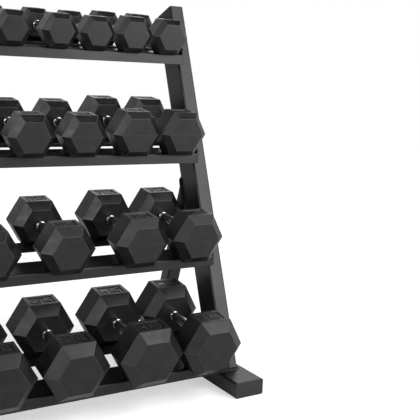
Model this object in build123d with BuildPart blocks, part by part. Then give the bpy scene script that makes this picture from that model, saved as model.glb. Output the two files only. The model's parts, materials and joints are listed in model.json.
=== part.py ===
from build123d import *
from math import cos, radians, sin, sqrt, tan
import os

# A four-tier dumbbell rack with its ten pairs of hexagonal dumbbells.
# Millimetres, +Z up, +Y to the back, origin on the floor under the middle of the feet.

os.makedirs("parts", exist_ok=True)

# Frame: one rectangular tube for feet and uprights, a square one for the rear braces
clear_width = 790  # between the inner faces of the two uprights
foot_length = 560
tube_width = 40  # narrow side, which an upright turns to the front
tube_depth = 80  # broad side, which lies flat in a foot
tube_wall = 2.5
tube_corner = 5  # outside corner radius of every tube
brace_depth = 40
lean = 19.8  # of the uprights, back from vertical; the braces lean forward as much
upright_setback = 86  # from a foot's front end to the upright's front face
upright_length = 984  # along the front face, cap included
brace_height = 473  # where a brace's middle line meets the upright's back face

# Plastic plugs that close the tube ends
cap_thickness = 3
plug_depth = 12
plug_wall = 3
plug_clearance = 0.3

# Tiers: two folded angle rails between two end plates, tipped towards the user
tier_count = 4
tier_pitch = 253
lowest_rail_height = 47  # floor to the bottom edge of the lowest front rail
tray_tilt = 8
rail_lead = 26  # how far a front rail stands ahead of the upright's front face
rail_face = 26  # height of a rail's turned-down face
rail_depth = 72  # of a rail's flange, along the tray
rail_gap = 68  # open slot between the two flanges
sheet = 3
bend_radius = 5  # outside, at a rail's fold
plate_thickness = 5
plate_upstand = 16  # of an end plate above the flanges
plate_corner = 8

# Dumbbells: rubber heads moulded over iron cores on a chromed bar
grip_length = 120  # between the two heads
grip_diameter = 28
rubber = 4  # least thickness over an iron core
core_end_cover = 12  # rubber over a core's two ends
boss_flats = 24  # hexagonal boss of a core, which keys the rubber and meets the bar
seat_clearance = 0.2  # between a core, its rubber and the bar
recess_depth = 1.2  # of the panel on a head's upper flat
recess_rim = 5  # land left around that panel
tray_reach = 100  # from a front rail's edge to the middle of the grip, along the tray
rest_clearance = 0.1  # between a head and the flange under it

# What each tier holds, top tier first, as pairs counted from the right-hand upright:
# across flats, straight length of a head, and the gap on the right of each of the two
tier_pairs = [
    [(87, 42, (1.0, 1.5)), (81, 39, (1.0, 3.0)), (80, 38, (20.5, 12))],
    [(110, 51, (1.0, 1.5)), (100, 48, (12, 11.5)), (95, 46, (20, 14))],
    [(121, 53, (1.0, 10)), (113, 51, (48, 40))],
    [(138, 57, (1.0, 1.5)), (133, 55, (23, 10))],
]
# Width of the 45 degree bevel round both ends of a head, top tier first
tier_bevels = [12, 15, 18.5, 22]

# Where the frame stands
foot_height = tube_width
foot_front = -foot_length / 2
upright_middle = clear_width / 2 + tube_width / 2
sides = {"left": -1, "right": 1}
lean_slope = tan(radians(lean))
upright_run = tube_depth / cos(radians(lean))  # an upright's depth, measured level
along_upright = Vector(0, sin(radians(lean)), cos(radians(lean)))
along_brace = Vector(0, sin(radians(lean)), -cos(radians(lean)))


def upright_front(height):
    """Y of the uprights' front faces at a height above the floor."""
    return foot_front + upright_setback + (height - foot_height) * lean_slope


# The tray plane of each tier: its origin is on the front rail's upper edge, half way along,
# its X runs along the rail, its Y up the tray to the back and its Z out of the flanges
tray_across = Vector(0, cos(radians(tray_tilt)), sin(radians(tray_tilt)))
tray_up = Vector(0, -sin(radians(tray_tilt)), cos(radians(tray_tilt)))
tray_depth = 2 * rail_depth + rail_gap
trays = []
for tier in range(tier_count):
    rail_bottom = lowest_rail_height + (tier_count - 1 - tier) * tier_pitch
    rail_front = upright_front(rail_bottom) - rail_lead
    trays.append(Plane((0, rail_front, rail_bottom + rail_face), x_dir=(1, 0, 0), z_dir=tray_up))


def on_tray(tray, across, up=0.0):
    """The point of a tray's middle section that lies so far back along it and so far above it."""
    return tray.origin + tray_across * across + tray_up * up


def side_point(point):
    """A point's place in the side view, as Y and Z."""
    return (point.Y, point.Z)


# Feet: tube laid flat, open at both ends for the plugs
for side, sign in sides.items():
    foot_end = Plane(
        (sign * upright_middle, foot_front + cap_thickness, foot_height / 2), x_dir=(1, 0, 0), z_dir=(0, 1, 0)
    )
    with BuildPart() as foot:
        with BuildSketch(foot_end):
            RectangleRounded(tube_depth, tube_width, tube_corner)
            Rectangle(tube_depth - 2 * tube_wall, tube_width - 2 * tube_wall, mode=Mode.SUBTRACT)
        extrude(amount=foot_length - 2 * cap_thickness)
    foot.part.label = f"foot_{side}"
    export_step(foot.part, f"parts/foot_{side}.step")

# Foot plugs: a flush end plate with a hollow skirt that grips inside the tube
plug_inset = tube_wall + plug_clearance
with BuildPart() as foot_caps:
    for sign in sides.values():
        for end in (-1, 1):
            tube_end = end * (foot_length / 2 - cap_thickness)
            mouth = Plane(
                (sign * upright_middle, tube_end, foot_height / 2), x_dir=(1, 0, 0), z_dir=(0, end, 0)
            )
            with BuildSketch(mouth):
                RectangleRounded(tube_depth, tube_width, tube_corner)
            extrude(amount=cap_thickness)
            with BuildSketch(mouth):
                Rectangle(tube_depth - 2 * plug_inset, tube_width - 2 * plug_inset)
                Rectangle(
                    tube_depth - 2 * (plug_inset + plug_wall),
                    tube_width - 2 * (plug_inset + plug_wall),
                    mode=Mode.SUBTRACT,
                )
            extrude(amount=-plug_depth)
foot_caps.part.label = "foot_caps"
export_step(foot_caps.part, "parts/foot_caps.step")

# Uprights: tube on edge, cut level where it is welded to the foot
upright_base = Vector(0, upright_front(foot_height), foot_height)
upright_square = Vector(0, cos(radians(lean)), -sin(radians(lean)))  # from the front face to the back
upright_top = upright_base + along_upright * upright_length + upright_square * (tube_depth / 2)
floor_cut = Plane.XY.offset(foot_height)
for side, sign in sides.items():
    top_mouth = Plane(
        upright_top - along_upright * cap_thickness + Vector(sign * upright_middle, 0, 0),
        x_dir=(1, 0, 0),
        z_dir=along_upright,
    )
    with BuildPart() as upright:
        with BuildSketch(top_mouth):
            RectangleRounded(tube_width, tube_depth, tube_corner)
            Rectangle(tube_width - 2 * tube_wall, tube_depth - 2 * tube_wall, mode=Mode.SUBTRACT)
        extrude(amount=-(upright_length + tube_depth * lean_slope))
        split(bisect_by=floor_cut, keep=Keep.TOP)
    upright.part.label = f"upright_{side}"
    export_step(upright.part, f"parts/upright_{side}.step")

# Upright plugs: the same pattern of plug, square to the leaning tube
with BuildPart() as upright_caps:
    for sign in sides.values():
        mouth = Plane(
            upright_top - along_upright * cap_thickness + Vector(sign * upright_middle, 0, 0),
            x_dir=(1, 0, 0),
            z_dir=along_upright,
        )
        with BuildSketch(mouth):
            RectangleRounded(tube_width, tube_depth, tube_corner)
        extrude(amount=cap_thickness)
        with BuildSketch(mouth):
            Rectangle(tube_width - 2 * plug_inset, tube_depth - 2 * plug_inset)
            Rectangle(
                tube_width - 2 * (plug_inset + plug_wall),
                tube_depth - 2 * (plug_inset + plug_wall),
                mode=Mode.SUBTRACT,
            )
        extrude(amount=-plug_depth)
upright_caps.part.label = "upright_caps"
export_step(upright_caps.part, "parts/upright_caps.step")

# Rear braces: square tube from half way up the upright's back to the rear of the foot,
# mitred to the upright's back face above and cut level on the foot below
upright_back = Plane(upright_base + upright_square * tube_depth, x_dir=(1, 0, 0), z_dir=upright_square)
brace_root = Vector(0, upright_front(brace_height) + upright_run, brace_height)
brace_reach = brace_height / cos(radians(lean))
for side, sign in sides.items():
    brace_top = Plane(
        brace_root - along_brace * brace_depth + Vector(sign * upright_middle, 0, 0),
        x_dir=(1, 0, 0),
        z_dir=along_brace,
    )
    with BuildPart() as brace:
        with BuildSketch(brace_top):
            RectangleRounded(tube_width, brace_depth, tube_corner)
            Rectangle(tube_width - 2 * tube_wall, brace_depth - 2 * tube_wall, mode=Mode.SUBTRACT)
        extrude(amount=brace_reach + 2 * brace_depth)
        split(bisect_by=floor_cut, keep=Keep.TOP)
        split(bisect_by=upright_back, keep=Keep.TOP)
    brace.part.label = f"brace_{side}"
    export_step(brace.part, f"parts/brace_{side}.step")

# Rails: sheet folded to an angle, with an upright face at the tray's outer edge and the
# flange that carries the heads; the front and rear rails turn their faces outwards
rail_length = clear_width - 2 * plate_thickness
for tier, tray in enumerate(trays):
    front_edge = on_tray(tray, 0)
    rear_edge = on_tray(tray, tray_depth)
    rails = {
        "front": (front_edge, on_tray(tray, rail_depth), Side.RIGHT),
        "rear": (rear_edge, on_tray(tray, rail_depth + rail_gap), Side.LEFT),
    }
    for place, (fold, free_edge, inside) in rails.items():
        foot_of_face = fold - Vector(0, 0, rail_face)
        with BuildPart() as rail:
            with BuildSketch(Plane.YZ.offset(-rail_length / 2)):
                with BuildLine():
                    FilletPolyline(
                        side_point(foot_of_face), side_point(fold), side_point(free_edge), radius=bend_radius
                    )
                    offset(amount=sheet, side=inside)
                make_face()
            extrude(amount=rail_length)
        rail.part.label = f"{place}_rail_{tier + 1}"
        export_step(rail.part, f"parts/{place}_rail_{tier + 1}.step")

# End plates: one at each end of every tier, welded to both rails and fixed to the upright,
# with an upstand that keeps the heads from rolling off the end
with BuildPart() as end_plates:
    for tray in trays:
        front_edge = on_tray(tray, 0)
        rear_edge = on_tray(tray, tray_depth)
        rise = Vector(0, 0, plate_upstand)
        drop = Vector(0, 0, -rail_face)
        for sign in sides.values():
            with BuildSketch(Plane.YZ.offset(sign * (clear_width / 2 - plate_thickness / 2))) as outline:
                with BuildLine():
                    Polyline(
                        side_point(front_edge + drop),
                        side_point(front_edge + rise),
                        side_point(rear_edge + rise),
                        side_point(rear_edge + drop),
                        close=True,
                    )
                make_face()
                upper_corners = outline.vertices().sort_by(Axis.Y)[-2:]
                fillet(upper_corners, plate_corner)
            extrude(amount=plate_thickness / 2, both=True)
end_plates.part.label = "end_plates"
export_step(end_plates.part, "parts/end_plates.step")

# Dumbbells: each hexagonal head lies on a flat, its bar in line with the tray's tilt
across_corners = 2 / sqrt(3)
dumbbells = []
for tier, (tray, pairs, bevel) in enumerate(zip(trays, tier_pairs, tier_bevels)):
    number = 0
    right_side = clear_width / 2
    for flats, straight, gaps in pairs:
        for gap in gaps:
            number += 1
            corner_width = flats * across_corners
            middle = on_tray(tray, tray_reach, flats / 2 + rest_clearance)
            middle += Vector(right_side - gap - corner_width / 2, 0, 0)
            right_side -= gap + corner_width
            dumbbells.append((f"dumbbell_{tier + 1}_{number}", middle, flats, straight, bevel))

for name, middle, flats, straight, bevel in dumbbells:
    grip_middle = Plane(middle, x_dir=(1, 0, 0), z_dir=tray_across)
    head_start = grip_middle.offset(grip_length / 2)
    head_length = straight + 2 * bevel
    head_axis = Axis(middle, tray_across)

    # Iron core and the cavity it lies in: a hexagon that leaves the least rubber under the bevels,
    # with a smaller hexagonal boss that comes out to the bar
    core_flats = flats - 2 * max(rubber, bevel - core_end_cover + rubber * sqrt(2))
    inner_forms = []
    for clearance in (0, seat_clearance):
        with BuildPart() as inner_form:
            with BuildSketch(head_start.offset(core_end_cover + clearance)):
                RegularPolygon(core_flats / 2 - clearance, 6, major_radius=False)
            extrude(amount=head_length - 2 * (core_end_cover + clearance))
            with BuildSketch(head_start):
                RegularPolygon(boss_flats / 2 - clearance, 6, major_radius=False)
            extrude(amount=core_end_cover + clearance)
        inner_forms.append(inner_form.part)
    cavity, core = inner_forms

    # Rubber head: bevelled hexagon with the core's cavity and a sunk panel on its upper flat
    panel = Plane(
        middle + tray_across * ((grip_length + head_length) / 2) + tray_up * (flats / 2),
        x_dir=(1, 0, 0),
        z_dir=tray_up,
    )
    with BuildPart() as heads:
        with BuildSketch(head_start):
            RegularPolygon(flats / 2, 6, major_radius=False)
        extrude(amount=head_length)
        head_ends = faces().sort_by(head_axis)
        chamfer(head_ends[0].edges() + head_ends[-1].edges(), bevel)
        with BuildSketch(panel):
            Rectangle(flats * across_corners / 2 - 2 * recess_rim, straight - 2 * recess_rim)
        extrude(amount=-recess_depth, mode=Mode.SUBTRACT)
        add(cavity, mode=Mode.SUBTRACT)
        mirror(about=grip_middle)
    heads.part.label = f"{name}_heads"
    export_step(heads.part, f"parts/{name}_heads.step")

    # Bar: chromed grip, friction-welded to the cores' bosses
    with BuildPart() as bar:
        with BuildSketch(grip_middle):
            Circle(grip_diameter / 2)
        extrude(amount=grip_length / 2 - seat_clearance, both=True)
        add(core)
        mirror(core, about=grip_middle)
    bar.part.label = f"{name}_bar"
    export_step(bar.part, f"parts/{name}_bar.step")
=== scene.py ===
import json
import math

import bmesh
import bpy
import numpy as np
from mathutils import Matrix, Vector

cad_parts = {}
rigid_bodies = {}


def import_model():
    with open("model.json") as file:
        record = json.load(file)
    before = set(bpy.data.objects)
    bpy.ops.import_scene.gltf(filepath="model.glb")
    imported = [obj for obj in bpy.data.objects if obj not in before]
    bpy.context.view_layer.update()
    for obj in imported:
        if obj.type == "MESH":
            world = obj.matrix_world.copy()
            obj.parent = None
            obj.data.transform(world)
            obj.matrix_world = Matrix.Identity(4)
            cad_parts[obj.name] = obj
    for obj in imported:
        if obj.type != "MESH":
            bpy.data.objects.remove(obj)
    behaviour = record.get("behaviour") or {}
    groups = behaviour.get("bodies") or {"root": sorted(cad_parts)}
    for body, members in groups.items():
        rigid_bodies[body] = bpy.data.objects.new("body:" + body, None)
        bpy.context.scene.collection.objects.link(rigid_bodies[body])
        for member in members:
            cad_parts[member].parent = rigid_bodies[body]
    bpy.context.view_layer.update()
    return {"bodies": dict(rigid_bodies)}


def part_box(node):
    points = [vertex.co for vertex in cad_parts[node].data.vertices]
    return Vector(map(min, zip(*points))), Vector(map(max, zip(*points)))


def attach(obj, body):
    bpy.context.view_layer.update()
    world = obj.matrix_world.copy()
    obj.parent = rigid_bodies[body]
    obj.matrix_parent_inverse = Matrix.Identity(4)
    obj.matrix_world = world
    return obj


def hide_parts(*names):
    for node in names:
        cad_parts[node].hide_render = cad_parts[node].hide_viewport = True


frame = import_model()

# Feet
# Two lengths of 80 by 40 mm steel tube that lie flat on the floor and carry the side frames.
# Cold-formed with rounded corners, welded to the uprights and braces, blasted and powder coated satin black.
TUBE_CORNER = 0.005
ACROSS = np.array([1.0, 0.0, 0.0])
UP = np.array([0.0, 0.0, 1.0])


def linear(hex_colour):
    """A written sRGB colour as the linear colour that the shader takes."""
    srgb = np.array([int(hex_colour[i : i + 2], 16) for i in (1, 3, 5)]) / 255
    rgb = np.where(srgb <= 0.04045, srgb / 12.92, ((srgb + 0.055) / 1.055) ** 2.4)
    return (*rgb.tolist(), 1.0)


def add_node(tree, kind, values=None, links=None, **settings):
    """Adds a node, gives it its settings and input values, and links its named inputs to outputs."""
    node = tree.nodes.new(kind)
    for name, setting in settings.items():
        setattr(node, name, setting)
    for name, value in (values or {}).items():
        node.inputs[name].default_value = value
    for name, output in (links or {}).items():
        tree.links.new(output, node.inputs[name])
    return node


def per_metre(size_mm):
    """The scale of a noise whose grains are about this many millimetres across."""
    return 1000 / size_mm


def blank_material(name, values):
    """A new material with these values on its shader's sockets. Gives the material, its node tree, its
    shader and the place on the piece that its patterns read."""
    material = bpy.data.materials.new(name)
    material.use_nodes = True
    tree = material.node_tree
    shader = tree.nodes["Principled BSDF"]
    for socket, value in values.items():
        shader.inputs[socket].default_value = value
    return material, tree, shader, add_node(tree, "ShaderNodeTexCoord").outputs["Object"]


def satin_powder_coat():
    """Polyester powder sprayed on blasted steel and baked: an even satin black film with a fine orange-peel
    skin and slightly uneven gloss. A little dust greys broad patches, and where the attribute "rubbed" is
    set, heads drawn over the film have polished streaks into it."""
    material, tree, shader, place = blank_material("satin_powder_coat", {"IOR": 1.42})
    dust = add_node(tree, "ShaderNodeTexNoise", {"Scale": per_metre(90), "Detail": 4}, {"Vector": place})
    film = add_node(
        tree,
        "ShaderNodeMix",
        {"A": linear("#151517"), "B": linear("#1f1f22")},
        {"Factor": dust.outputs["Fac"]},
        data_type="RGBA",
    )
    # The streaks run with the drawn heads, about 7 mm wide and 80 mm long
    run = add_node(
        tree, "ShaderNodeMapping", {"Scale": (per_metre(7), per_metre(80), per_metre(80))}, {"Vector": place}
    )
    streak = add_node(
        tree, "ShaderNodeTexNoise", {"Scale": 1.0, "Detail": 3}, {"Vector": run.outputs["Vector"]}
    )
    rubbed = add_node(tree, "ShaderNodeAttribute", attribute_name="rubbed")
    polish = add_node(
        tree,
        "ShaderNodeMath",
        None,
        {0: streak.outputs["Fac"], 1: rubbed.outputs["Fac"]},
        operation="MULTIPLY",
    )
    satin = add_node(
        tree,
        "ShaderNodeMapRange",
        {"From Min": 0.3, "From Max": 0.7, "To Min": 0.31, "To Max": 0.39},
        {"Value": dust.outputs["Fac"]},
    )
    gloss = add_node(
        tree,
        "ShaderNodeMath",
        {1: -0.10},
        {0: polish.outputs["Value"], 2: satin.outputs["Result"]},
        operation="MULTIPLY_ADD",
    )
    # The real peel is about 1 mm across, drawn at 2.5 mm so that it shows in the render
    peel = add_node(tree, "ShaderNodeTexNoise", {"Scale": per_metre(2.5), "Detail": 2}, {"Vector": place})
    skin = add_node(
        tree, "ShaderNodeBump", {"Strength": 0.10, "Distance": 0.0004}, {"Height": peel.outputs["Fac"]}
    )
    tree.links.new(film.outputs["Result"], shader.inputs["Base Color"])
    tree.links.new(gloss.outputs["Value"], shader.inputs["Roughness"])
    tree.links.new(skin.outputs["Normal"], shader.inputs["Normal"])
    return material


def rounded_outline(corners, radii, steps=5):
    """A closed outline of straight runs joined by arcs. The corners go round counter-clockwise, and each
    becomes an arc of its radius tangent to both of its runs; a corner that turns the other way gets its
    arc's centre outside. Gives the points and their outward normals, both as arrays of shape (n, 2)."""
    corners = np.asarray(corners, float)
    radii = np.broadcast_to(np.asarray(radii, float), len(corners))
    runs = np.roll(corners, -1, 0) - corners
    runs /= np.linalg.norm(runs, axis=1, keepdims=True)
    after = np.stack([runs[:, 1], -runs[:, 0]], 1)
    before = np.roll(after, 1, 0)
    turn = np.arctan2(
        before[:, 0] * after[:, 1] - before[:, 1] * after[:, 0], np.sum(before * after, axis=1)
    )
    side = np.sign(turn)[:, None] * radii[:, None]
    centres = corners - side * (before + after) / (1 + np.sum(before * after, axis=1, keepdims=True))
    angles = np.arctan2(before[:, 1], before[:, 0])[:, None] + turn[:, None] * np.linspace(0, 1, steps + 1)
    normals = np.stack([np.cos(angles), np.sin(angles)], -1)
    points = centres[:, None] + side[:, None] * normals
    return points.reshape(-1, 2), normals.reshape(-1, 2)


def rounded_rectangle(half_width, near, far, corner):
    """The outline of a tube's section: a rectangle from near to far, with its corners rounded."""
    return rounded_outline(
        [(half_width, near), (half_width, far), (-half_width, far), (-half_width, near)], corner
    )


def surface(name, points, normals, material, end_faces=False, gap=None, loose=None):
    """A mesh from a grid of points, rows by columns, whose columns close on themselves. Each cell is a
    four-sided face, apart from one that may be left as a gap; each end row may be closed by one flat face.
    Loose four-sided faces, of shape (n, 4, 3) with a normal each, may be added. The shading takes the exact
    normals."""
    rows, columns = points.shape[:2]
    index = np.arange(rows * columns).reshape(rows, columns)
    beside = np.roll(index, -1, 1)
    cells = np.stack([index[:-1], beside[:-1], beside[1:], index[1:]], -1).reshape(-1, 4)
    if gap is not None:
        cells = np.delete(cells, gap[0] * columns + gap[1], axis=0)
    faces = cells.tolist()
    vertices = points.reshape(-1, 3)
    shading = normals.reshape(-1, 3)
    if end_faces:
        faces += [index[0, ::-1].tolist(), index[-1].tolist()]
    if loose is not None:
        quads, facing = loose
        faces += (np.arange(len(quads) * 4).reshape(-1, 4) + len(vertices)).tolist()
        vertices = np.concatenate([vertices, quads.reshape(-1, 3)])
        shading = np.concatenate([shading, np.repeat(facing, 4, axis=0)])
    mesh = bpy.data.meshes.new(name)
    mesh.from_pydata(vertices.tolist(), [], faces)
    mesh.shade_smooth()
    shading = shading / np.linalg.norm(shading, axis=1, keepdims=True)
    mesh.normals_split_custom_set_from_vertices(shading.tolist())
    mesh.materials.append(material)
    piece = bpy.data.objects.new(name, mesh)
    bpy.context.scene.collection.objects.link(piece)
    return piece


def cut_line(start, section, over, axis, point, plane):
    """The closed line where a tube meets a plane, given by a point and a normal. The tube's section lies
    across and over, and each of its points runs along the axis by its distance from the plane, divided by
    the axis's share of the plane's normal. Gives the line and the tube's own normals along it."""
    outline, facing = section
    lines = start + outline[:, :1] * ACROSS + outline[:, 1:] * over
    line = lines + ((point - lines) @ plane / (axis @ plane))[:, None] * axis
    return line, facing[:, :1] * ACROSS + facing[:, 1:] * over


def cut_tube(name, start, section, over, axis, cuts, material):
    """A tube carried along an axis from one cut to the other, each a point and its plane's normal. Both ends
    are closed flat, since plugs and welds hide the tube's inside."""
    ends = [cut_line(start, section, over, axis, *cut) for cut in cuts]
    points, normals = (np.stack(rows) for rows in zip(*ends))
    return surface(name, points, normals, material, end_faces=True)


def box_of(node):
    """A node's lowest and highest corners as arrays."""
    low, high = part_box(node)
    return np.array(low), np.array(high)


powder_coat = satin_powder_coat()
SIDES = ("left", "right")
BACK = np.array([0.0, 1.0, 0.0])
foot_boxes = {side: box_of(f"foot_{side}") for side in SIDES}
for side, (low, high) in foot_boxes.items():
    heel = np.array([(low[0] + high[0]) / 2, high[1], low[2]])
    section = rounded_rectangle((high[0] - low[0]) / 2, 0, high[2] - low[2], TUBE_CORNER)
    foot = cut_tube(f"foot_tube_{side}", heel, section, UP, -BACK, [(heel, BACK), (low, BACK)], powder_coat)
    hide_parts(f"foot_{side}")
    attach(foot, "rack")

# Uprights
# The same tube on edge, leaning back, cut level at the bottom and square at the top.
# Each is welded all round to the top of its foot and coated with it.
LEAN = math.radians(19.8)
UPRIGHT_WIDTH = 0.040
UPRIGHT_DEPTH = 0.080
UPRIGHT_AXIS = np.array([0, math.sin(LEAN), math.cos(LEAN)])
UPRIGHT_BACK = np.array([0, math.cos(LEAN), -math.sin(LEAN)])

upright_section = rounded_rectangle(UPRIGHT_WIDTH / 2, 0, UPRIGHT_DEPTH, TUBE_CORNER)
upright_ends = {}
for side in SIDES:
    low, high = box_of(f"upright_{side}")
    base = np.array([(low[0] + high[0]) / 2, low[1], low[2]])
    top = base + UPRIGHT_AXIS * (high[2] - low[2]) / math.cos(LEAN)
    upright_ends[side] = (base, top)
    cuts = [(base, UP), (top, UPRIGHT_AXIS)]
    upright = cut_tube(
        f"upright_tube_{side}", base, upright_section, UPRIGHT_BACK, UPRIGHT_AXIS, cuts, powder_coat
    )
    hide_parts(f"upright_{side}")
    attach(upright, "rack")

# Rear braces
# Square tube that props each upright from behind, mitred to the upright's back and cut level on the foot.
# Welded at both ends and coated with the rest of the side frame.
BRACE_AXIS = np.array([0, -math.sin(LEAN), math.cos(LEAN)])
BRACE_BACK = np.array([0, math.cos(LEAN), math.sin(LEAN)])
BRACE_SIDE = 0.040

brace_section = rounded_rectangle(BRACE_SIDE / 2, -BRACE_SIDE, 0, TUBE_CORNER)
brace_heels = {}
for side in SIDES:
    low, high = box_of(f"brace_{side}")
    base, _ = upright_ends[side]
    # The brace's rear line ends at the box's lowest, rearmost corner
    heel = np.array([(low[0] + high[0]) / 2, high[1], low[2]])
    brace_heels[side] = heel
    cuts = [(heel, UP), (base + UPRIGHT_BACK * UPRIGHT_DEPTH, UPRIGHT_BACK)]
    brace = cut_tube(f"brace_tube_{side}", heel, brace_section, BRACE_BACK, BRACE_AXIS, cuts, powder_coat)
    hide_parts(f"brace_{side}")
    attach(brace, "rack")

# Weld beads
# Fillet welds that join each upright and brace to its foot, and each brace to the back of its upright.
# Laid by hand with a wire feed before coating, so they show as a rippled round under the same film.
BEAD_LEG = 0.0055
BEAD_RIPPLE = 0.0035
BEAD_SWELL = 1 / 12
RIPPLE_STEPS = 5


def weld_bead(name, outline, facing, plane, wall):
    """A quarter round carried along a closed line. The line is spaced evenly by its length; across it the
    bead runs from one leg out on the plate to one leg up the wall, as the sine and cosine of an angle; and
    the leg swells and shrinks by a twelfth as a wave along the line, one wave to each ripple. The section
    starts and ends in the joint's own corner, so the bead is closed."""
    closed = np.concatenate([outline, outline[:1]])
    travelled = np.concatenate([[0], np.cumsum(np.linalg.norm(np.diff(closed, axis=0), axis=1))])
    ripples = round(travelled[-1] / BEAD_RIPPLE)
    share = np.arange(ripples * RIPPLE_STEPS) / (ripples * RIPPLE_STEPS)
    at = share * travelled[-1]
    line = np.stack([np.interp(at, travelled, closed[:, axis]) for axis in range(3)], 1)
    turned = np.concatenate([facing, facing[:1]])
    out = np.stack([np.interp(at, travelled, turned[:, axis]) for axis in range(3)], 1)
    out -= (out @ plane)[:, None] * plane
    out /= np.linalg.norm(out, axis=1, keepdims=True)
    leg = BEAD_LEG * (1 + BEAD_SWELL * np.sin(2 * math.pi * ripples * share))
    rise = np.linspace(0, math.pi / 2, 6)
    spread = np.cos(rise)[:, None, None] * out + np.sin(rise)[:, None, None] * wall
    points = line + leg[:, None] * spread
    along = np.roll(points, -1, 1) - np.roll(points, 1, 1)
    normals = np.cross(along, np.gradient(points, axis=0))
    points = np.concatenate([line[None], points, line[None]])
    bead = surface(name, points, normals[[0, *range(len(rise)), -1]], powder_coat)
    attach(bead, "rack")


for side in SIDES:
    base, _ = upright_ends[side]
    heel = brace_heels[side]
    seat = base + UPRIGHT_BACK * UPRIGHT_DEPTH
    upright_tube = (base, upright_section, UPRIGHT_BACK, UPRIGHT_AXIS)
    brace_tube = (heel, brace_section, BRACE_BACK, BRACE_AXIS)
    for joint, tube, point, plane, wall in (
        ("upright_foot", upright_tube, base, UP, UPRIGHT_AXIS),
        ("brace_foot", brace_tube, heel, UP, BRACE_AXIS),
        ("brace_upright", brace_tube, seat, UPRIGHT_BACK, -BRACE_AXIS),
    ):
        outline, facing = cut_line(*tube, point, plane)
        if joint == "brace_upright":
            # The brace runs down from this joint, so its line is taken the other way round
            outline, facing = outline[::-1], facing[::-1]
        weld_bead(f"weld_{joint}_{side}", outline, facing, plane, wall)

# Tube plugs
# Moulded plastic plugs pressed into the open ends of the feet and the tops of the uprights.
# Each has a rounded rim as wide as the tube and a slightly domed face with a fine moulded grain.
PLUG_RIM = 0.0016
PLUG_DOME = 0.0006
PLUG_REACH = 0.9
LEAST_CORNER = 0.0002
UPRIGHT_PLUG = 0.003


def grained_plastic():
    """Polypropylene moulded against an etched tool: charcoal black and dull, with a fine pebble grain and
    faint paler scuffs."""
    material, tree, shader, place = blank_material("grained_plastic", {"IOR": 1.49})
    scuff = add_node(tree, "ShaderNodeTexNoise", {"Scale": per_metre(18), "Detail": 5}, {"Vector": place})
    colour = add_node(
        tree,
        "ShaderNodeMix",
        {"A": linear("#151516"), "B": linear("#29292b")},
        {"Factor": scuff.outputs["Fac"]},
        data_type="RGBA",
    )
    # The etched pebbles are about 0.6 mm across, drawn at 1.8 mm so that they show in the render
    pebble = add_node(tree, "ShaderNodeTexVoronoi", {"Scale": per_metre(1.8)}, {"Vector": place})
    skin = add_node(
        tree, "ShaderNodeBump", {"Strength": 0.25, "Distance": 0.0003}, {"Height": pebble.outputs["Distance"]}
    )
    dull = add_node(
        tree, "ShaderNodeMapRange", {"To Min": 0.46, "To Max": 0.62}, {"Value": scuff.outputs["Fac"]}
    )
    tree.links.new(colour.outputs["Result"], shader.inputs["Base Color"])
    tree.links.new(dull.outputs["Result"], shader.inputs["Roughness"])
    tree.links.new(skin.outputs["Normal"], shader.inputs["Normal"])
    return material


def tube_plug(name, node, centre, across, over, half_width, half_depth, thickness):
    """A plug over a tube's end. A rounded rectangle is carried outwards and shrinks as it goes: straight up,
    round the rim by a quarter circle, then over a shallow dome whose height falls off with the square of the
    way out from the middle."""
    outwards = np.cross(across, over)
    turn = np.linspace(0, math.pi / 2, 5)
    dome = np.linspace(0, 1, 6)[1:]
    flat = min(half_width, half_depth) - PLUG_RIM
    rim_height = thickness - PLUG_DOME
    inset = np.concatenate([[0], PLUG_RIM * (1 - np.cos(turn)), PLUG_RIM + flat * PLUG_REACH * dome])
    height = np.concatenate(
        [[0], rim_height - PLUG_RIM * (1 - np.sin(turn)), rim_height + PLUG_DOME * (1 - (1 - dome) ** 2)]
    )
    tip = np.concatenate([[0], turn, np.full(len(dome), math.pi / 2)])
    corner = np.maximum(TUBE_CORNER - inset, LEAST_CORNER)
    rows = [
        rounded_rectangle(half_width - step, step - half_depth, half_depth - step, radius)
        for step, radius in zip(inset, corner)
    ]
    plane = np.stack([across, over])
    points = centre + np.stack([row[0] for row in rows]) @ plane + height[:, None, None] * outwards
    normals = (
        np.cos(tip)[:, None, None] * (np.stack([row[1] for row in rows]) @ plane)
        + np.sin(tip)[:, None, None] * outwards
    )
    plug = surface(name, points, normals, plug_plastic, end_faces=True)
    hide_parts(node)
    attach(plug, "rack")


plug_plastic = grained_plastic()
caps_low, caps_high = box_of("foot_caps")
for side in SIDES:
    low, high = foot_boxes[side]
    middle = (low + high) / 2
    half = (high - low) / 2
    for place, end, across, thickness in (
        ("front", low[1], ACROSS, low[1] - caps_low[1]),
        ("rear", high[1], -ACROSS, caps_high[1] - high[1]),
    ):
        mouth = np.array([middle[0], end, middle[2]])
        tube_plug(f"foot_{place}_plug_{side}", "foot_caps", mouth, across, UP, half[0], half[2], thickness)
    _, top = upright_ends[side]
    mouth = top + UPRIGHT_BACK * UPRIGHT_DEPTH / 2
    half = (UPRIGHT_WIDTH / 2, UPRIGHT_DEPTH / 2)
    tube_plug(f"upright_plug_{side}", "upright_caps", mouth, ACROSS, UPRIGHT_BACK, *half, UPRIGHT_PLUG)

# Rails
# Each tier is two strips of 3 mm sheet folded to an angle: a low upright face outside and a broad flange that
# carries the heads. Folded on a press brake, welded between the end plates and coated with them.
TILT = math.radians(8.0)
TRAY_ACROSS = np.array([0, math.cos(TILT), math.sin(TILT)])
TRAY_UP = np.array([0, -math.sin(TILT), math.cos(TILT)])
RAIL_FACE = 0.026
RAIL_DEPTH = 0.072
SHEET = 0.003
FOLD_RADIUS = 0.005
SHEET_EDGE = 0.0006
FLANGE_FACING = 0.99
TIERS = range(1, 5)


def mark(piece, name, values):
    """Keeps one number for each vertex of a piece, for its material to read."""
    piece.data.attributes.new(name, "FLOAT", "POINT").data.foreach_set("value", np.ravel(values))


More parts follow.
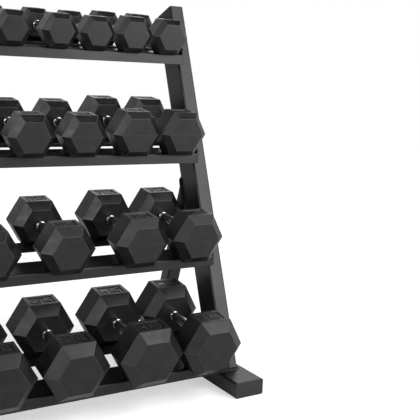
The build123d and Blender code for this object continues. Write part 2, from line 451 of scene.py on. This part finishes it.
def folded_rail(name, fold, reach, low_x, high_x):
    """A folded strip: an outline in the side view carried along the tier. From the fold the face drops
    straight down and the flange runs up the tray by reach, which is negative on a rear rail."""
    face_end = fold - UP * RAIL_FACE
    flange_end = fold + TRAY_ACROSS * reach
    under_end = flange_end - TRAY_UP * SHEET
    # The inner fold lies where the face's inner side meets the flange's underside
    inner_y = fold[1] + math.copysign(SHEET, reach)
    under = fold - TRAY_UP * SHEET
    inner_z = under[2] + (inner_y - under[1]) * math.tan(TILT)
    corners = np.array(
        [face_end[1:], [inner_y, face_end[2]], [inner_y, inner_z], under_end[1:], flange_end[1:], fold[1:]]
    )
    radii = np.array([SHEET_EDGE, SHEET_EDGE, FOLD_RADIUS - SHEET, SHEET_EDGE, SHEET_EDGE, FOLD_RADIUS])
    if reach < 0:
        corners = corners[::-1]
        radii = radii[::-1]
    outline, facing = rounded_outline(corners, radii, steps=6)
    points = np.zeros((2, len(outline), 3))
    points[..., 0] = np.array([low_x, high_x])[:, None]
    points[..., 1:] = outline
    normals = np.zeros_like(points)
    normals[..., 1:] = facing
    rail = surface(name, points, normals, powder_coat, end_faces=True)
    mark(rail, "rubbed", normals @ TRAY_UP > FLANGE_FACING)
    return rail


folds = {}
for tier in TIERS:
    low, high = box_of(f"front_rail_{tier}")
    front_fold = np.array([0, low[1], low[2] + RAIL_FACE])
    _, rear_high = box_of(f"rear_rail_{tier}")
    rear_fold = front_fold + TRAY_ACROSS * (rear_high[1] - low[1]) / math.cos(TILT)
    folds[tier] = (front_fold, rear_fold)
    for place, fold, reach in (("front", front_fold, RAIL_DEPTH), ("rear", rear_fold, -RAIL_DEPTH)):
        rail = folded_rail(f"{place}_strip_{tier}", fold, reach, low[0], high[0])
        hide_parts(f"{place}_rail_{tier}")
        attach(rail, "rack")

# End plates
# A 5 mm steel plate at each end of a tier, with an upstand that keeps the heads from rolling off.
# Laser cut, deburred round its rims, welded to both rails, coated with them and bolted to the upright.
PLATE_THICKNESS = 0.005
PLATE_UPSTAND = 0.016
PLATE_CORNER = 0.008
PLATE_FOOT_CORNER = 0.002
PLATE_EDGE = 0.0012


def rimmed_plate(name, corners, radii, low_x, high_x):
    """A flat plate: its outline in the side view is carried through the thickness. At each face the outline
    shrinks along its normals as a quarter circle, by the rim's radius times one less a cosine, while the way
    to the face goes with the sine."""
    outline, facing = rounded_outline(corners, radii)
    turn = np.linspace(0, math.pi / 2, 4)
    tip = np.concatenate([-turn[::-1], turn])[:, None]
    to_face = PLATE_EDGE * (1 - np.sin(np.abs(tip)))
    points = np.zeros((len(tip), len(outline), 3))
    points[..., 0] = np.concatenate([low_x + to_face[: len(turn)], high_x - to_face[len(turn) :]])
    points[..., 1:] = outline - PLATE_EDGE * (1 - np.cos(tip))[..., None] * facing
    normals = np.zeros_like(points)
    normals[..., 0] = np.sin(tip)
    normals[..., 1:] = np.cos(tip)[..., None] * facing
    return surface(name, points, normals, powder_coat, end_faces=True)


for tier in TIERS:
    low, high = box_of(f"front_rail_{tier}")
    front_fold, rear_fold = folds[tier]
    bottom = UP * RAIL_FACE
    upstand = UP * PLATE_UPSTAND
    corners = [front_fold - bottom, rear_fold - bottom, rear_fold + upstand, front_fold + upstand]
    radii = [PLATE_FOOT_CORNER, PLATE_FOOT_CORNER, PLATE_CORNER, PLATE_CORNER]
    for side, near in (("left", low[0] - PLATE_THICKNESS), ("right", high[0])):
        plate = rimmed_plate(
            f"end_plate_{tier}_{side}", np.stack(corners)[:, 1:], radii, near, near + PLATE_THICKNESS
        )
        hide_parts("end_plates")
        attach(plate, "rack")

# Dumbbell heads
# Black rubber moulded over an iron core: a hexagon bevelled at both ends, with a sunk panel on its top flat.
# Pressed in a two-part mould, which leaves slightly rounded edges and a faint seam at half height.
GRIP_LENGTH = 0.120
HEAD_EDGE = 0.0016
PANEL_RIM = 0.008
PANEL_DEPTH = 0.0024
PANEL_DRAFT = 0.0008
ARC_COLUMNS = 5
ARC_ROWS = 4
HEX = 2 / math.sqrt(3)


def moulded_rubber():
    """Rubber cured in a steel mould: near black, finely grained and dull, with a faint grey bloom in broad
    patches, edges painted paler as a highlight, and a thin raised seam where the mould parts."""
    material, tree, shader, place = blank_material("moulded_rubber", {"IOR": 1.42})
    bloom = add_node(
        tree, "ShaderNodeTexNoise", {"Scale": per_metre(28), "Detail": 4, "Roughness": 0.6}, {"Vector": place}
    )
    # Flow lines lie level, about 1 mm apart, drawn at 6 mm so that they show in the render
    level = add_node(
        tree, "ShaderNodeMapping", {"Scale": (per_metre(70), per_metre(70), per_metre(6))}, {"Vector": place}
    )
    flow = add_node(
        tree, "ShaderNodeTexNoise", {"Scale": 1.0, "Detail": 3}, {"Vector": level.outputs["Vector"]}
    )
    cloud = add_node(
        tree,
        "ShaderNodeMath",
        {1: 0.5},
        {0: flow.outputs["Fac"], 2: bloom.outputs["Fac"]},
        operation="MULTIPLY_ADD",
    )
    tone = add_node(
        tree, "ShaderNodeMapRange", {"From Min": 0.5, "From Max": 1.0}, {"Value": cloud.outputs["Value"]}
    )
    black = add_node(
        tree,
        "ShaderNodeMix",
        {"A": linear("#080809"), "B": linear("#1c1c1d")},
        {"Factor": tone.outputs["Result"]},
        data_type="RGBA",
    )
    # A painted highlight: the heads' edges and the numbers' tops are mixed towards a paler grey
    edge_highlight = add_node(tree, "ShaderNodeAttribute", attribute_name="edge")
    highlighted = add_node(
        tree,
        "ShaderNodeMix",
        {"B": linear("#3a3a3c")},
        {"Factor": edge_highlight.outputs["Fac"], "A": black.outputs["Result"]},
        data_type="RGBA",
    )
    # The seam is about 0.5 mm wide, drawn at 1.6 mm so that it shows in the render
    height = add_node(tree, "ShaderNodeAttribute", attribute_name="height")
    off_seam = add_node(tree, "ShaderNodeMath", None, {0: height.outputs["Fac"]}, operation="ABSOLUTE")
    seam = add_node(
        tree,
        "ShaderNodeMapRange",
        {"From Min": 0.0, "From Max": 0.0008, "To Min": 1.0, "To Max": 0.0},
        {"Value": off_seam.outputs["Value"]},
        interpolation_type="SMOOTHSTEP",
    )
    # The mould's spark-eroded grain is about 0.5 mm, drawn at 1.6 mm so that it shows in the render
    grain = add_node(tree, "ShaderNodeTexNoise", {"Scale": per_metre(1.6), "Detail": 2}, {"Vector": place})
    skin = add_node(
        tree, "ShaderNodeBump", {"Strength": 0.14, "Distance": 0.0003}, {"Height": grain.outputs["Fac"]}
    )
    ridge = add_node(
        tree,
        "ShaderNodeBump",
        {"Strength": 0.5, "Distance": 0.0004},
        {"Height": seam.outputs["Result"], "Normal": skin.outputs["Normal"]},
    )
    dull = add_node(
        tree,
        "ShaderNodeMapRange",
        {"To Min": 0.29, "To Max": 0.48},
        {"Value": tone.outputs["Result"]},
    )
    tree.links.new(highlighted.outputs["Result"], shader.inputs["Base Color"])
    tree.links.new(dull.outputs["Result"], shader.inputs["Roughness"])
    tree.links.new(ridge.outputs["Normal"], shader.inputs["Normal"])
    return material


def hexagon_along(middle, across, up, axis, profile, facing, corner):
    """A hexagon with rounded corners carried along an axis. The profile gives, row by row, a place along the
    axis and the hexagon's apothem, and facing the profile's normal in the same terms. A row's corner arcs
    have their centres at apothem less radius, times two over root three, towards the hexagon's corners."""
    ring = np.arange(6) * math.pi / 3
    spread = np.linspace(-math.pi / 6, math.pi / 6, ARC_COLUMNS)
    angle = (ring[:, None] + spread).reshape(-1)
    towards = np.repeat(ring, ARC_COLUMNS)
    normal = np.stack([np.cos(angle), np.sin(angle)], 1)
    to_corner = np.stack([np.cos(towards), np.sin(towards)], 1)
    along, apothem = profile[:, 0], profile[:, 1]
    radius = np.minimum(corner, apothem * 0.9)
    section = ((apothem - radius) * HEX)[:, None, None] * to_corner + radius[:, None, None] * normal
    plane = np.stack([across, up])
    points = middle + along[:, None, None] * axis + section @ plane
    lean = HEX * np.sum(normal * to_corner, axis=1)
    outwards = facing[:, 1][:, None, None] * (normal @ plane)
    normals = outwards + (facing[:, 0][:, None] * lean)[..., None] * axis
    return points, normals


def bevelled_profile(length, bevel, apothem):
    """The half section of a head from the grip outwards: a flat end, a 45 degree bevel, the straight side,
    the second bevel and the other end, with each of the four corners an arc of the edge radius."""
    corners = [
        (length, apothem - bevel),
        (length - bevel, apothem),
        (bevel, apothem),
        (0, apothem - bevel),
        (0, 0),
        (length, 0),
    ]
    outline, facing = rounded_outline(corners, HEAD_EDGE, ARC_ROWS - 1)
    rows = 4 * ARC_ROWS
    return outline[:rows][::-1], facing[:rows][::-1]


def head_sizes(node):
    """A pair of heads' middle, width across flats, bevel and straight length, from the node's box. Its X is
    the width across corners; its Z reaches the outer ridge's upper edge, and its Y the outer end's lower
    edge, and those two give the ridge's place along the tilted bar and the bevel beyond it."""
    low, high = box_of(node)
    half = (high - low) / 2
    flats = 2 * half[0] / HEX
    level, rise = math.cos(TILT), math.sin(TILT)
    ridge = (half[2] - flats / 2 * level) / rise
    bevel = (half[1] - ridge * level - flats / 2 * rise) / (level - rise)
    return (low + high) / 2, flats, bevel, ridge - GRIP_LENGTH / 2 - bevel


def sunk_panel(outer):
    """A rectangle of four corners, shape (4, 3), going round, with a flat rim, walls that lean in by the
    mould's draft and a sunk floor, as nine loose faces with their normals."""
    run = outer[1] - outer[0]
    rise = outer[3] - outer[0]
    facing = np.cross(run, rise)
    facing /= np.linalg.norm(facing)
    unit = np.stack([run / np.linalg.norm(run), rise / np.linalg.norm(rise)])
    inwards = np.sign((outer.mean(0) - outer) @ unit.T) @ unit
    inner = outer + PANEL_RIM * inwards
    floor = inner + PANEL_DRAFT * inwards - PANEL_DEPTH * facing
    after = [1, 2, 3, 0]
    rim = np.stack([outer, outer[after], inner[after], inner], 1)
    walls = np.stack([inner, inner[after], floor[after], floor], 1)
    tipped = np.cross(facing, inner[after] - inner)
    tipped = tipped / np.linalg.norm(tipped, axis=1, keepdims=True) * PANEL_DEPTH + facing * PANEL_DRAFT
    quads = np.concatenate([rim, walls, floor[None]])
    normals = np.concatenate([np.repeat(facing[None], 4, 0), tipped, facing[None]])
    return quads, normals


rubber = moulded_rubber()
DUMBBELLS = [body for body in frame["bodies"] if body.startswith("dumbbell")]
# The painted edge highlight is palest half way round an edge's arcs and fades to nothing on the flats
along_edge = np.tile(np.sin(np.linspace(0, math.pi, ARC_ROWS)), 4)
round_edge = np.tile(np.sin(np.linspace(0, math.pi, ARC_COLUMNS)), 6)
edge = np.maximum(along_edge[:, None], round_edge)
edge[[0, -1]] = 0
# The upper flat of the straight side, between the two ridges' rows and the two upper corners' columns
top_row, top_column = 2 * ARC_ROWS - 1, 2 * ARC_COLUMNS - 1
flat_rows = [top_row, top_row, top_row + 1, top_row + 1]
flat_columns = [top_column, top_column + 1, top_column + 1, top_column]
panel_floors = {}
for body in DUMBBELLS:
    middle, flats, bevel, straight = head_sizes(f"{body}_heads")
    profile, facing = bevelled_profile(straight + 2 * bevel, bevel, flats / 2)
    for end, axis, across in (("front", -TRAY_ACROSS, ACROSS), ("rear", TRAY_ACROSS, -ACROSS)):
        points, normals = hexagon_along(
            middle + axis * GRIP_LENGTH / 2, across, TRAY_UP, axis, profile, facing, HEAD_EDGE
        )
        quads, turned = sunk_panel(points[flat_rows, flat_columns])
        panel_floors[body, end] = quads[-1]
        head = surface(
            f"{body}_{end}_head", points, normals, rubber, True, (top_row, top_column), (quads, turned)
        )
        # The heads' edges take the painted highlight, and the panel's faces take none
        mark(head, "edge", np.concatenate([edge.reshape(-1), np.zeros(quads.size // 3)]))
        heights = np.concatenate([points.reshape(-1, 3), quads.reshape(-1, 3)]) - middle
        mark(head, "height", heights @ TRAY_UP)
        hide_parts(f"{body}_heads")
        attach(head, body)

# Weight numbers
# Plain raised numbers in the heads' sunk panels, the dumbbell's weight to the nearest half kilogram.
# Moulded in one with the rubber, so they are the same black, with their tops painted a little paler as a
# highlight.
NUMBER_RAISE = 0.0014
NUMBER_SINK = 0.0002
NUMBER_WIDTH = 0.88
NUMBER_DEPTH = 0.66
NUMBER_STRETCH = 2
NUMBER_HIGHLIGHT = 0.5
LETTER_WELD = 0.001
KILOGRAMS = {
    1: ("4.5", "3.5", "3.5"),
    2: ("8", "6.5", "5.5"),
    3: ("10", "8.5"),
    4: ("14", "12.5"),
}


def raised_number(name, words, floor):
    """Letters filled flat and thickened, scaled to most of a panel's width and drawn up to twice as tall to
    fill its depth, and laid on its floor with the reading line along the tier."""
    letters = bpy.data.curves.new(name, "FONT")
    letters.body = words
    letters.align_x = "CENTER"
    letters.align_y = "CENTER"
    letters.resolution_u = 3
    letters.extrude = 0.1
    letters.offset = 0.012
    draft = bpy.data.objects.new(name, letters)
    mesh = bpy.data.meshes.new_from_object(draft)
    bpy.data.objects.remove(draft)
    # The letters' faces and sides come apart from the font, so they are joined to closed solids
    solid = bmesh.new()
    solid.from_mesh(mesh)
    bmesh.ops.remove_doubles(solid, verts=solid.verts, dist=LETTER_WELD)
    bmesh.ops.dissolve_degenerate(solid, edges=solid.edges, dist=LETTER_WELD)
    solid.to_mesh(mesh)
    solid.free()
    flat = np.zeros(len(mesh.vertices) * 3)
    mesh.vertices.foreach_get("co", flat)
    flat = flat.reshape(-1, 3)
    size = np.ptp(flat, axis=0)
    room = np.abs(np.ptp(floor @ np.stack([ACROSS, TRAY_ACROSS], 1), axis=0))
    deepest = NUMBER_DEPTH * room[1] / size[1]
    wide = min(NUMBER_WIDTH * room[0] / size[0], deepest)
    tall = min(NUMBER_STRETCH * wide, deepest)
    flat[:, :2] = (flat[:, :2] - (flat.max(0) + flat.min(0))[:2] / 2) * (wide, tall)
    raise_by = np.where(flat[:, 2] > 0, NUMBER_RAISE, -NUMBER_SINK)
    points = floor.mean(0) + flat[:, :1] * ACROSS + flat[:, 1:2] * TRAY_ACROSS + raise_by[:, None] * TRAY_UP
    mesh.vertices.foreach_set("co", points.reshape(-1))
    mesh.materials.clear()
    mesh.materials.append(rubber)
    number = bpy.data.objects.new(name, mesh)
    bpy.context.scene.collection.objects.link(number)
    # The letters' tops are painted paler as a highlight
    mark(number, "edge", np.where(flat[:, 2] > 0, NUMBER_HIGHLIGHT, 0.0))
    mark(number, "height", np.ones(len(flat)))
    return number


for (body, end), floor in panel_floors.items():
    tier, place = (int(word) for word in body.split("_")[1:])
    number = raised_number(f"{body}_{end}_number", KILOGRAMS[tier][(place - 1) // 2] + " KG", floor)
    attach(number, body)

# Bars
# A steel bar with a knurled, slightly swelled grip and a plain collar at each head.
# Turned and rolled, chrome plated, and friction-welded to the iron cores inside the heads.
GRIP_RADIUS = 0.014
NECK_RADIUS = 0.0112
COLLAR_RADIUS = 0.0128
COLLAR_WIDTH = 0.006
GROOVE_RADIUS = 0.0104
COLLAR_OUTER_EDGE = 0.0012
COLLAR_INNER_EDGE = 0.0018
GROOVE_WIDTH = 0.003
GROOVE_EDGE = 0.0004
GRIP_STATIONS = 13
GRIP_EDGE = 0.0002
BAR_COLUMNS = 48
TURNED_ARC = 3
KNURL_TEETH = 30
KNURL_ENDS = 0.006


def knurled_chrome():
    """Chrome plate on turned steel: bright, hard and smooth on the collars, with a rolled diamond knurl on
    the grip that breaks the reflections into sparks, and skin marks that dull it in patches."""
    plate = {"Base Color": linear("#c6c7c9"), "Metallic": 1.0}
    material, tree, shader, place = blank_material("knurled_chrome", plate)
    touched = add_node(tree, "ShaderNodeTexNoise", {"Scale": per_metre(14), "Detail": 4}, {"Vector": place})
    bright = add_node(
        tree,
        "ShaderNodeMapRange",
        {"From Min": 0.35, "From Max": 0.7, "To Min": 0.08, "To Max": 0.2},
        {"Value": touched.outputs["Fac"]},
    )
    # Two families of grooves cross at 45 degrees. Real teeth stand 1.5 mm apart, here 3 mm so that they show
    lie = add_node(tree, "ShaderNodeUVMap", uv_map="teeth")
    way = add_node(tree, "ShaderNodeSeparateXYZ", None, {"Vector": lie.outputs["UV"]})
    right = add_node(
        tree, "ShaderNodeMath", None, {0: way.outputs["X"], 1: way.outputs["Y"]}, operation="ADD"
    )
    left = add_node(
        tree, "ShaderNodeMath", None, {0: way.outputs["X"], 1: way.outputs["Y"]}, operation="SUBTRACT"
    )
    right_slope = add_node(
        tree, "ShaderNodeMath", {1: 0.5}, {0: right.outputs["Value"]}, operation="PINGPONG"
    )
    left_slope = add_node(tree, "ShaderNodeMath", {1: 0.5}, {0: left.outputs["Value"]}, operation="PINGPONG")
    tooth = add_node(
        tree,
        "ShaderNodeMath",
        None,
        {0: right_slope.outputs["Value"], 1: left_slope.outputs["Value"]},
        operation="MULTIPLY",
    )
    on_grip = add_node(tree, "ShaderNodeAttribute", attribute_name="knurled")
    cut = add_node(
        tree,
        "ShaderNodeMath",
        None,
        {0: tooth.outputs["Value"], 1: on_grip.outputs["Fac"]},
        operation="MULTIPLY",
    )
    relief = add_node(
        tree, "ShaderNodeBump", {"Strength": 0.35, "Distance": 0.0018}, {"Height": cut.outputs["Value"]}
    )
    tree.links.new(bright.outputs["Result"], shader.inputs["Roughness"])
    tree.links.new(relief.outputs["Normal"], shader.inputs["Normal"])
    return material


def turned(outline, facing, middle, axis, across, over, columns):
    """A half section turned about an axis. Each of its points is a place along the axis and a way out from
    it, and goes round in evenly spaced columns, by the cosine across and the sine over. Gives the points
    and their normals."""
    turn = np.linspace(0, 2 * math.pi, columns, endpoint=False)
    around = np.stack([np.cos(turn), np.sin(turn)], 1) @ np.stack([across, over])
    points = middle + outline[:, 0][:, None, None] * axis + outline[:, 1][:, None, None] * around
    return points, facing[:, 0][:, None, None] * axis + facing[:, 1][:, None, None] * around


def turned_bar(name, middle):
    """A profile turned about the bar's axis. Each end has a plain collar with rounded edges and a groove, and
    the grip between swells from the neck's radius to its full one by one less the square of the way out. The
    map that the knurl follows counts teeth round the bar and, at the same scale, along it."""
    half = GRIP_LENGTH / 2
    groove = half - COLLAR_WIDTH
    grip = groove - GROOVE_WIDTH
    stations = np.linspace(1, -1, GRIP_STATIONS)
    swell = NECK_RADIUS + (GRIP_RADIUS - NECK_RADIUS) * (1 - stations**2)
    collar = [(half, 0), (half, COLLAR_RADIUS), (groove, COLLAR_RADIUS), (groove, GROOVE_RADIUS)]
    neck = [(grip, GROOVE_RADIUS)]
    corners = np.concatenate(
        [collar, neck, np.stack([stations * grip, swell], 1), [(-s, r) for s, r in (collar + neck)[::-1]]]
    )
    edges = [0, COLLAR_OUTER_EDGE, COLLAR_INNER_EDGE, GROOVE_EDGE, GROOVE_EDGE, GROOVE_EDGE]
    radii = edges + [GRIP_EDGE] * (GRIP_STATIONS - 2) + edges[::-1]
    # The first and last corners, on the axis, are left out: the ends are closed flat
    axis_points = TURNED_ARC + 1
    outline, facing = (
        part[axis_points:-axis_points][::-1] for part in rounded_outline(corners, radii, TURNED_ARC)
    )
    points, normals = turned(outline, facing, middle, TRAY_ACROSS, -ACROSS, TRAY_UP, BAR_COLUMNS)
    bar = surface(name, points, normals, chrome, end_faces=True)
    knurled = np.abs(outline[:, 0]) < grip - KNURL_ENDS
    mark(bar, "knurled", np.repeat(knurled, BAR_COLUMNS))
    count = np.linspace(0, KNURL_TEETH, BAR_COLUMNS + 1)
    along = outline[:, 0] * KNURL_TEETH / (2 * math.pi * GRIP_RADIUS)
    cells = np.zeros((len(outline) - 1, BAR_COLUMNS, 4, 2))
    cells[..., 0] = np.stack([count[:-1], count[1:], count[1:], count[:-1]], 1)
    cells[..., 1] = np.stack([along[:-1], along[:-1], along[1:], along[1:]], 1)[:, None]
    teeth = np.zeros((len(bar.data.loops), 2))
    teeth[: cells.size // 2] = cells.reshape(-1, 2)
    bar.data.uv_layers.new(name="teeth").data.foreach_set("uv", teeth.reshape(-1))
    return bar


chrome = knurled_chrome()
for body in DUMBBELLS:
    low, high = box_of(f"{body}_heads")
    bar = turned_bar(f"{body}_grip", (low + high) / 2)
    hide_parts(f"{body}_bar")
    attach(bar, body)

# Bolts
# Two M10 hexagon bolts with washers hold each end plate to its upright, under the tray.
# Forged steel blackened in a hot oxide bath, screwed from inside into threaded inserts in the tube's wall.
BOLT_DROP = 0.014
BOLT_INSET = 0.019
BOLT_FLATS = 0.017
BOLT_HEIGHT = 0.0064
BOLT_EDGE = 0.0010
BOLT_CORNER = 0.0006
WASHER_RADIUS = 0.0105
WASHER_THICKNESS = 0.002
WASHER_EDGE = 0.0006
WASHER_COLUMNS = 32


def blackened_steel():
    """Forged steel in a black oxide: a thin dark skin that keeps the metal's shine, rubbed to bare grey in
    small spots by the spanner."""
    material, tree, shader, place = blank_material("blackened_steel", {"Metallic": 1.0})
    spot = add_node(tree, "ShaderNodeTexNoise", {"Scale": per_metre(3), "Detail": 4}, {"Vector": place})
    rubbed = add_node(
        tree, "ShaderNodeMapRange", {"From Min": 0.55, "From Max": 0.75}, {"Value": spot.outputs["Fac"]}
    )
    skin = add_node(
        tree,
        "ShaderNodeMix",
        {"A": linear("#343438"), "B": linear("#6d6d70")},
        {"Factor": rubbed.outputs["Result"]},
        data_type="RGBA",
    )
    shine = add_node(
        tree, "ShaderNodeMapRange", {"To Min": 0.42, "To Max": 0.26}, {"Value": rubbed.outputs["Result"]}
    )
    scale = add_node(
        tree, "ShaderNodeBump", {"Strength": 0.2, "Distance": 0.0002}, {"Height": spot.outputs["Fac"]}
    )
    tree.links.new(skin.outputs["Result"], shader.inputs["Base Color"])
    tree.links.new(shine.outputs["Result"], shader.inputs["Roughness"])
    tree.links.new(scale.outputs["Normal"], shader.inputs["Normal"])
    return material


def rounded_rim(height, radius, rounding):
    """The half section of a disc of this height: its two rim corners as arcs, in order along the axis."""
    corners = [(0, 0), (height, 0), (height, radius), (0, radius)]
    outline, facing = rounded_outline(corners, rounding, TURNED_ARC)
    rim = 2 * (TURNED_ARC + 1)
    return outline[rim:][::-1], facing[rim:][::-1]


def washer(name, centre, across, axis):
    """The section of a disc turned about an axis, with both ends closed flat."""
    rim = rounded_rim(WASHER_THICKNESS, WASHER_RADIUS, WASHER_EDGE)
    points, normals = turned(*rim, centre, axis, across, UP, WASHER_COLUMNS)
    return surface(name, points, normals, black_steel, end_faces=True)


black_steel = blackened_steel()
for tier, (fold, _) in folds.items():
    for side, inwards in (("left", ACROSS), ("right", -ACROSS)):
        base, _ = upright_ends[side]
        # A line under the tray, at the bolts' depth, meets the upright's front and its back
        level = fold - TRAY_UP * BOLT_DROP
        slant = math.cos(TILT) - math.tan(LEAN) * math.sin(TILT)
        to_front = (base[1] + (level[2] - base[2]) * math.tan(LEAN) - level[1]) / slant
        to_back = to_front + UPRIGHT_DEPTH / math.cos(LEAN) / slant
        across = np.cross(UP, inwards)
        plate_face = ACROSS * base[0] + inwards * (UPRIGHT_WIDTH / 2 + PLATE_THICKNESS)
        for spot, along in (("front", to_front + BOLT_INSET), ("back", to_back - BOLT_INSET)):
            seat = level + TRAY_ACROSS * along + plate_face
            section = rounded_rim(BOLT_HEIGHT, BOLT_FLATS / 2, BOLT_EDGE)
            crown = seat + inwards * WASHER_THICKNESS
            points, normals = hexagon_along(crown, across, UP, inwards, *section, BOLT_CORNER)
            bolt = surface(f"bolt_head_{spot}_{tier}_{side}", points, normals, black_steel, end_faces=True)
            for piece in (bolt, washer(f"bolt_washer_{spot}_{tier}_{side}", seat, across, inwards)):
                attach(piece, "rack")

# Studio
# White paper on the floor under even light, with two large softboxes in front and a weak one behind.
# The paper and the surrounding white show as white, while the rack keeps its shadow on the paper.
FLOOR_REACH = 8.0
FILL_LIGHT = 0.38
PAPER_IN_GLOSS = 0.2
ROOM_IN_GLOSS = 0.3
BACKDROP_EDGE = math.radians(22)


def seen_ray(tree, in_gloss):
    """One for a ray from the camera or through glass, and this share of it for a ray off a gloss."""
    path = add_node(tree, "ShaderNodeLightPath")
    direct = add_node(
        tree,
        "ShaderNodeMath",
        None,
        {0: path.outputs["Is Camera Ray"], 1: path.outputs["Is Transmission Ray"]},
        operation="MAXIMUM",
    )
    shown = add_node(
        tree,
        "ShaderNodeMath",
        {1: in_gloss},
        {0: path.outputs["Is Glossy Ray"], 2: direct.outputs["Value"]},
        operation="MULTIPLY_ADD",
    )
    return shown.outputs["Value"]


def white_paper():
    """Matt white paper that scatters light evenly. Seen directly or in a reflection it glows a little too,
    more so further out where it is swept up into the backdrop, so that only the rack's shadow falls below
    white."""
    material = bpy.data.materials.new("white_paper")
    material.use_nodes = True
    tree = material.node_tree
    tree.nodes.clear()
    place = add_node(tree, "ShaderNodeTexCoord").outputs["Object"]
    out = add_node(tree, "ShaderNodeVectorMath", None, {0: place}, operation="LENGTH")
    sweep = add_node(
        tree,
        "ShaderNodeMapRange",
        {"From Min": 0.4, "From Max": 2.5, "To Min": 0.5, "To Max": 0.72},
        {"Value": out.outputs["Value"]},
    )
    matte = add_node(tree, "ShaderNodeBsdfDiffuse", {"Color": linear("#e6e6e6")})
    glow = add_node(
        tree, "ShaderNodeEmission", {"Color": linear("#ffffff")}, {"Strength": sweep.outputs["Result"]}
    )
    both = add_node(tree, "ShaderNodeAddShader", None, {0: matte.outputs[0], 1: glow.outputs[0]})
    seen = add_node(
        tree,
        "ShaderNodeMixShader",
        None,
        {0: seen_ray(tree, PAPER_IN_GLOSS), 1: matte.outputs[0], 2: both.outputs[0]},
    )
    add_node(tree, "ShaderNodeOutputMaterial", None, {"Surface": seen.outputs[0]})
    return material


floor_mesh = bpy.data.meshes.new("floor")
floor_corners = np.array([(-1, -1, 0), (1, -1, 0), (1, 1, 0), (-1, 1, 0)]) * FLOOR_REACH
floor_mesh.from_pydata(floor_corners.tolist(), [], [(0, 1, 2, 3)])
floor_mesh.materials.append(white_paper())
floor = bpy.data.objects.new("floor", floor_mesh)
bpy.context.scene.collection.objects.link(floor)

world = bpy.data.worlds.new("studio")
bpy.context.scene.world = world
world.use_nodes = True
tree = world.node_tree
# Behind the rack stands a white backdrop, and the room behind the camera is darker
sky = add_node(tree, "ShaderNodeTexCoord")
way = add_node(tree, "ShaderNodeSeparateXYZ", None, {"Vector": sky.outputs["Generated"]})
behind = add_node(
    tree,
    "ShaderNodeMapRange",
    {"From Min": -0.2, "From Max": 0.3},
    {"Value": way.outputs["Y"]},
    interpolation_type="SMOOTHSTEP",
)
# To the left the backdrop ends about 22 degrees from straight behind the rack
from_edge = add_node(
    tree,
    "ShaderNodeMath",
    {1: math.tan(BACKDROP_EDGE)},
    {0: way.outputs["Y"], 2: way.outputs["X"]},
    operation="MULTIPLY_ADD",
)
backdrop = add_node(
    tree,
    "ShaderNodeMapRange",
    {"From Min": -0.12, "From Max": 0.04, "To Min": 0.10, "To Max": 1.0},
    {"Value": from_edge.outputs["Value"]},
    interpolation_type="SMOOTHSTEP",
)
walls = add_node(
    tree,
    "ShaderNodeMix",
    {"A": ROOM_IN_GLOSS},
    {"Factor": behind.outputs["Result"], "B": backdrop.outputs["Result"]},
    data_type="FLOAT",
)
# Overhead the white ends too, and the dark of the ceiling begins
ceiling = add_node(
    tree,
    "ShaderNodeMapRange",
    {"From Min": 0.60, "From Max": 0.88, "To Min": 1.0, "To Max": 0.25},
    {"Value": way.outputs["Z"]},
    interpolation_type="SMOOTHSTEP",
)
room = add_node(
    tree,
    "ShaderNodeMath",
    None,
    {0: walls.outputs["Result"], 1: ceiling.outputs["Result"]},
    operation="MULTIPLY",
)
path = add_node(tree, "ShaderNodeLightPath")
shown = add_node(
    tree,
    "ShaderNodeMath",
    None,
    {0: room.outputs["Value"], 1: path.outputs["Is Camera Ray"]},
    operation="MAXIMUM",
)
strength = add_node(
    tree,
    "ShaderNodeMix",
    {"A": FILL_LIGHT},
    {"Factor": seen_ray(tree, 1.0), "B": shown.outputs["Value"]},
    data_type="FLOAT",
)
tree.nodes["Background"].inputs["Color"].default_value = linear("#ffffff")
tree.links.new(strength.outputs["Result"], tree.nodes["Background"].inputs["Strength"])

for name, place, target, width, tall, watts in (
    ("softbox_right", (1.50, -2.00, 1.75), (0.2, -0.1, 1.3), 1.8, 2.7, 69),
    ("softbox_left", (-2.4, -1.4, 1.55), (0.0, -0.1, 0.8), 1.0, 2.2, 39),
    ("softbox_rear", (1.5, 2.0, 1.90), (0.1, 0.0, 0.6), 1.5, 1.2, 6),
):
    light = bpy.data.lights.new(name, "AREA")
    light.energy = watts
    light.shape = "RECTANGLE"
    light.size = width
    light.size_y = tall
    lamp = bpy.data.objects.new(name, light)
    lamp.location = place
    lamp.rotation_euler = (Vector(target) - lamp.location).to_track_quat("-Z", "Y").to_euler()
    lamp.visible_camera = False
    bpy.context.scene.collection.objects.link(lamp)

# Camera
# A moderate lens at about two metres, a little above the rack's middle and to the left of its front.
# Its place, turn and focal length were fitted to the edges of the feet, uprights, rails and heads.
CAMERA_PLACE = Vector((-0.61325, -1.74973, 0.73639))
CAMERA_YAW = math.radians(31.44)
CAMERA_PITCH = math.radians(-8.75)
CAMERA_ROLL = math.radians(1.69)
FOCAL_PIXELS = 765.94
FRAME_PIXELS = 420
lens = bpy.data.cameras.new("camera")
lens.sensor_width = 36
lens.lens = lens.sensor_width * FOCAL_PIXELS / FRAME_PIXELS
camera = bpy.data.objects.new("camera", lens)
bpy.context.scene.collection.objects.link(camera)
level_ahead = Vector((math.sin(CAMERA_YAW), math.cos(CAMERA_YAW), 0))
ahead = level_ahead * math.cos(CAMERA_PITCH) + Vector((0, 0, math.sin(CAMERA_PITCH)))
right = Vector((math.cos(CAMERA_YAW), -math.sin(CAMERA_YAW), 0))
over = right.cross(ahead)
rolled_right = right * math.cos(CAMERA_ROLL) + over * math.sin(CAMERA_ROLL)
rolled_over = over * math.cos(CAMERA_ROLL) - right * math.sin(CAMERA_ROLL)
turn = Matrix((rolled_right, rolled_over, -ahead)).transposed().to_4x4()
camera.matrix_world = Matrix.Translation(CAMERA_PLACE) @ turn
bpy.context.scene.camera = camera
bpy.context.scene.view_settings.view_transform = "Standard"
